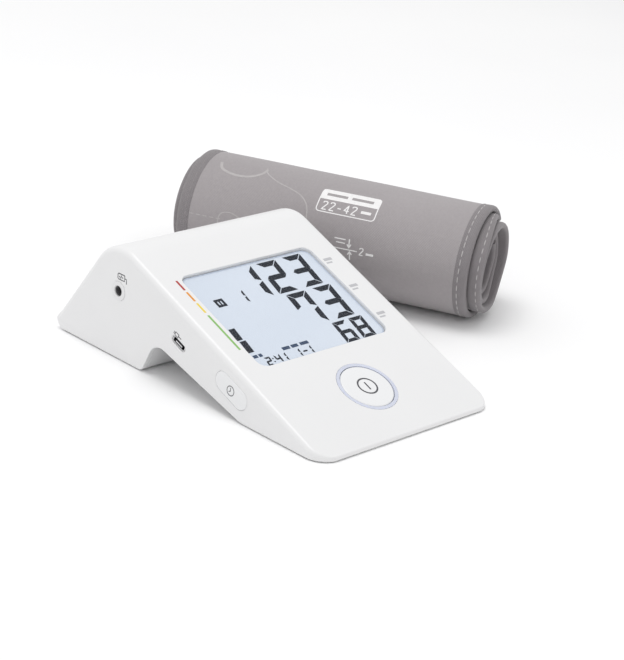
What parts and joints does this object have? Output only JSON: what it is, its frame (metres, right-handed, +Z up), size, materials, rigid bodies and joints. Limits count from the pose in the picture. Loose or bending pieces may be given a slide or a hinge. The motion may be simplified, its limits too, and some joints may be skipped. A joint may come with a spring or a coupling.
{
  "type": "blood pressure monitor with cuff",
  "caption": "Home blood pressure set: a wedge-shaped desktop monitor with a large display and a lit start button, and its rolled grey fabric upper-arm cuff.",
  "frame": {"origin": "centre of the monitor's footprint, on the table", "axes": "+X to the user's right across the display, +Y to the back of the monitor, +Z up"},
  "size_m": [0.1918, 0.206, 0.0505],
  "materials": {
    "white_shell": "fine satin moulded ABS",
    "white_base": "satin moulded ABS",
    "white_button": "satin",
    "light_ring": "translucent pale blue",
    "clear_window": "clear acrylic, semi-gloss",
    "display_glass": "pale blue liquid crystal glass",
    "light_guide": "frosted",
    "grey_moulding": "satin",
    "dark_moulding": "satin",
    "soft_rubber": "matt",
    "circuit_green": "solder-masked glass fibre",
    "flat_ribbon": "printed film",
    "clear_silicone": "smooth",
    "sensor_ceramic": "ceramic-filled",
    "plated_steel": "nickel plated",
    "cell_jacket": "printed sleeve",
    "grey_nylon": "coated plain weave nylon",
    "grey_lining": "coated nylon, inner face",
    "hem_webbing": "folded hem tape",
    "loop_pile": "loop pile",
    "hook_tape": "moulded hooks"
  },
  "bodies": {
    "monitor": {"top_cover": "white_shell", "bottom_cover": "white_base", "start_button_ring": "light_ring", "display_window": "clear_window", "lcd_panel": "display_glass", "lcd_backlight": "light_guide", "lcd_frame": "grey_moulding", "air_jack": "grey_moulding", "air_manifold": "grey_moulding", "start_switch": "dark_moulding", "clock_switch": "dark_moulding", "microcontroller": "dark_moulding", "pump_head": "dark_moulding", "release_valve": "dark_moulding", "buzzer": "dark_moulding", "lcd_connector": "soft_rubber", "pump_diaphragm": "soft_rubber", "rubber_feet": "soft_rubber", "main_board": "circuit_green", "button_board": "circuit_green", "ribbon_cable": "flat_ribbon", "air_tubes": "clear_silicone", "pressure_sensor": "sensor_ceramic", "board_screws": "plated_steel", "case_screws": "plated_steel", "usb_socket": "plated_steel", "battery_springs": "plated_steel", "battery_plates": "plated_steel", "pump_motor": "plated_steel", "batteries": "cell_jacket"},
    "start_button": {"start_button": "white_button"},
    "clock_button": {"clock_button": "white_button"},
    "battery_door": {"battery_door": "white_base"},
    "pump_rotor": {"pump_rotor": "plated_steel"},
    "valve_plunger": {"valve_plunger": "plated_steel"},
    "cuff": {"cuff_shell": "grey_nylon", "cuff_lining": "grey_lining", "air_bladder": "soft_rubber", "hem_tape": "hem_webbing", "loop_patch": "loop_pile", "hose_port": "dark_moulding"},
    "flap": {"cuff_flap": "grey_nylon", "hook_patch": "hook_tape"}
  },
  "joints": [
    {"name": "start_press", "type": "slide", "parent": "monitor", "child": "start_button", "axis": [0, 0.3631, -0.9317], "range_m": [0, 0.0005], "stiffness_N_per_m": 1000, "springref_m": -0.0005},
    {"name": "clock_press", "type": "slide", "parent": "monitor", "child": "clock_button", "axis": [1, 0, 0], "range_m": [0, 0.0005], "stiffness_N_per_m": 1000, "springref_m": -0.0005},
    {"name": "battery_door_hinge", "type": "hinge", "parent": "monitor", "child": "battery_door", "pos_m": [0, 0.072, 0.0014], "axis": [1, 0, 0], "range_deg": [0, 100]},
    {"name": "pump_spin", "type": "hinge", "parent": "monitor", "child": "pump_rotor", "pos_m": [0, 0.045, 0.029], "axis": [1, 0, 0], "continuous": true},
    {"name": "valve_stroke", "type": "slide", "parent": "monitor", "child": "valve_plunger", "axis": [0, 0, -1], "range_m": [0, 0.0008], "stiffness_N_per_m": 200, "springref_m": -0.0005},
    {"name": "cuff_lift", "type": "slide", "parent": "monitor", "child": "cuff", "axis": [0, 0, 1], "range_m": [0, 0.15]},
    {"name": "flap_open", "type": "hinge", "parent": "cuff", "child": "flap", "pos_m": [0.07724, 0.04863, 0.04677], "axis": [0.4305, -0.9026, 0], "range_deg": [0, 75]}
  ]
}
